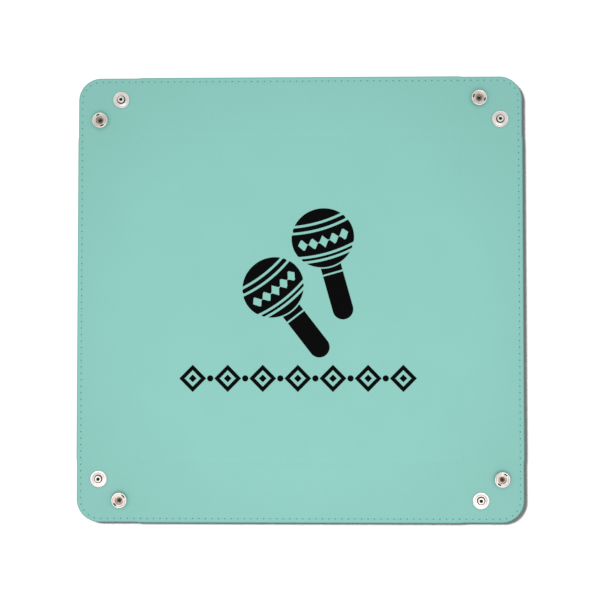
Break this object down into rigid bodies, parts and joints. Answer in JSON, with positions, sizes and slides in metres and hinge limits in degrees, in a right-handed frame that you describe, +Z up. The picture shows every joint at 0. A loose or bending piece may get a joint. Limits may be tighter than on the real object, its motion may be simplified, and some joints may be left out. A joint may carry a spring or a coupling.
{
  "type": "folding dice tray",
  "caption": "Flat square tray of stiffened imitation leather whose sides fold up and whose soft corners snap shut with metal snaps to make a low walled tray for rolling dice.",
  "frame": {"origin": "centre of the tray's underside, on the surface it rests on", "axes": "+Z up out of the play surface; +X and +Y along the tray's sides, with -Y the front side; every side is alike"},
  "size_m": [0.2286, 0.2286, 0.0058],
  "materials": {
    "lining": "fine-grained matte teal imitation leather",
    "backing": "the same teal imitation leather, outer face",
    "greyboard": "grey-brown pressed board",
    "thread": "teal sewing thread",
    "stud": "satin nickel-plated pressed metal",
    "socket": "satin nickel-plated pressed metal",
    "cap": "polished nickel-plated dome"
  },
  "bodies": {
    "base": {"base_board": "greyboard", "base_lining": "lining", "base_backing": "backing"},
    "front_wall": {"front_wall_board": "greyboard", "front_wall_lining": "lining", "front_wall_backing": "backing", "front_wall_stitching": "thread"},
    "front_right_stud_flap": {"front_right_stud_flap_lining": "lining", "front_right_stud_flap_backing": "backing", "front_right_stud_flap_stitching": "thread", "front_right_stud_cap": "cap", "front_right_stud": "stud"},
    "front_right_socket_flap": {"front_right_socket_flap_lining": "lining", "front_right_socket_flap_backing": "backing", "front_right_socket_flap_stitching": "thread", "front_right_socket_cap": "cap", "front_right_socket": "socket"},
    "right_wall": {"right_wall_board": "greyboard", "right_wall_lining": "lining", "right_wall_backing": "backing", "right_wall_stitching": "thread"},
    "back_right_stud_flap": {"back_right_stud_flap_lining": "lining", "back_right_stud_flap_backing": "backing", "back_right_stud_flap_stitching": "thread", "back_right_stud_cap": "cap", "back_right_stud": "stud"},
    "back_right_socket_flap": {"back_right_socket_flap_lining": "lining", "back_right_socket_flap_backing": "backing", "back_right_socket_flap_stitching": "thread", "back_right_socket_cap": "cap", "back_right_socket": "socket"},
    "back_wall": {"back_wall_board": "greyboard", "back_wall_lining": "lining", "back_wall_backing": "backing", "back_wall_stitching": "thread"},
    "back_left_stud_flap": {"back_left_stud_flap_lining": "lining", "back_left_stud_flap_backing": "backing", "back_left_stud_flap_stitching": "thread", "back_left_stud_cap": "cap", "back_left_stud": "stud"},
    "back_left_socket_flap": {"back_left_socket_flap_lining": "lining", "back_left_socket_flap_backing": "backing", "back_left_socket_flap_stitching": "thread", "back_left_socket_cap": "cap", "back_left_socket": "socket"},
    "left_wall": {"left_wall_board": "greyboard", "left_wall_lining": "lining", "left_wall_backing": "backing", "left_wall_stitching": "thread"},
    "front_left_stud_flap": {"front_left_stud_flap_lining": "lining", "front_left_stud_flap_backing": "backing", "front_left_stud_flap_stitching": "thread", "front_left_stud_cap": "cap", "front_left_stud": "stud"},
    "front_left_socket_flap": {"front_left_socket_flap_lining": "lining", "front_left_socket_flap_backing": "backing", "front_left_socket_flap_stitching": "thread", "front_left_socket_cap": "cap", "front_left_socket": "socket"}
  },
  "joints": [
    {"name": "front_wall_fold", "type": "hinge", "parent": "base", "child": "front_wall", "pos_m": [0, -0.0835, 0.0032], "axis": [-1, 0, 0], "range_deg": [0, 90]},
    {"name": "front_right_end_fold", "type": "hinge", "parent": "front_wall", "child": "front_right_stud_flap", "pos_m": [0.08127, -0.0835, 0.0032], "axis": [0, 1, 0], "range_deg": [0, 45]},
    {"name": "front_right_diagonal_fold", "type": "hinge", "parent": "front_right_stud_flap", "child": "front_right_socket_flap", "pos_m": [0.0835, -0.0835, 0.00477], "axis": [0.7071, -0.7071, 0], "range_deg": [0, 180]},
    {"name": "right_wall_fold", "type": "hinge", "parent": "base", "child": "right_wall", "pos_m": [0.0835, 0, 0.0032], "axis": [0, -1, 0], "range_deg": [0, 90]},
    {"name": "back_right_end_fold", "type": "hinge", "parent": "right_wall", "child": "back_right_stud_flap", "pos_m": [0.0835, 0.08127, 0.0032], "axis": [-1, 0, 0], "range_deg": [0, 45]},
    {"name": "back_right_diagonal_fold", "type": "hinge", "parent": "back_right_stud_flap", "child": "back_right_socket_flap", "pos_m": [0.0835, 0.0835, 0.00477], "axis": [0.7071, 0.7071, 0], "range_deg": [0, 180]},
    {"name": "back_wall_fold", "type": "hinge", "parent": "base", "child": "back_wall", "pos_m": [0, 0.0835, 0.0032], "axis": [1, 0, 0], "range_deg": [0, 90]},
    {"name": "back_left_end_fold", "type": "hinge", "parent": "back_wall", "child": "back_left_stud_flap", "pos_m": [-0.08127, 0.0835, 0.0032], "axis": [0, -1, 0], "range_deg": [0, 45]},
    {"name": "back_left_diagonal_fold", "type": "hinge", "parent": "back_left_stud_flap", "child": "back_left_socket_flap", "pos_m": [-0.0835, 0.0835, 0.00477], "axis": [-0.7071, 0.7071, 0], "range_deg": [0, 180]},
    {"name": "left_wall_fold", "type": "hinge", "parent": "base", "child": "left_wall", "pos_m": [-0.0835, 0, 0.0032], "axis": [0, 1, 0], "range_deg": [0, 90]},
    {"name": "front_left_end_fold", "type": "hinge", "parent": "left_wall", "child": "front_left_stud_flap", "pos_m": [-0.0835, -0.08127, 0.0032], "axis": [1, 0, 0], "range_deg": [0, 45]},
    {"name": "front_left_diagonal_fold", "type": "hinge", "parent": "front_left_stud_flap", "child": "front_left_socket_flap", "pos_m": [-0.0835, -0.0835, 0.00477], "axis": [-0.7071, -0.7071, 0], "range_deg": [0, 180]}
  ],
  "couplings": [
    {"joint": "front_right_end_fold", "follows": "front_wall_fold", "ratio": 0.5},
    {"joint": "front_right_diagonal_fold", "follows": "front_wall_fold", "ratio": 2},
    {"joint": "right_wall_fold", "follows": "front_wall_fold", "ratio": 1},
    {"joint": "back_right_end_fold", "follows": "front_wall_fold", "ratio": 0.5},
    {"joint": "back_right_diagonal_fold", "follows": "front_wall_fold", "ratio": 2},
    {"joint": "back_wall_fold", "follows": "front_wall_fold", "ratio": 1},
    {"joint": "back_left_end_fold", "follows": "front_wall_fold", "ratio": 0.5},
    {"joint": "back_left_diagonal_fold", "follows": "front_wall_fold", "ratio": 2},
    {"joint": "left_wall_fold", "follows": "front_wall_fold", "ratio": 1},
    {"joint": "front_left_end_fold", "follows": "front_wall_fold", "ratio": 0.5},
    {"joint": "front_left_diagonal_fold", "follows": "front_wall_fold", "ratio": 2}
  ]
}
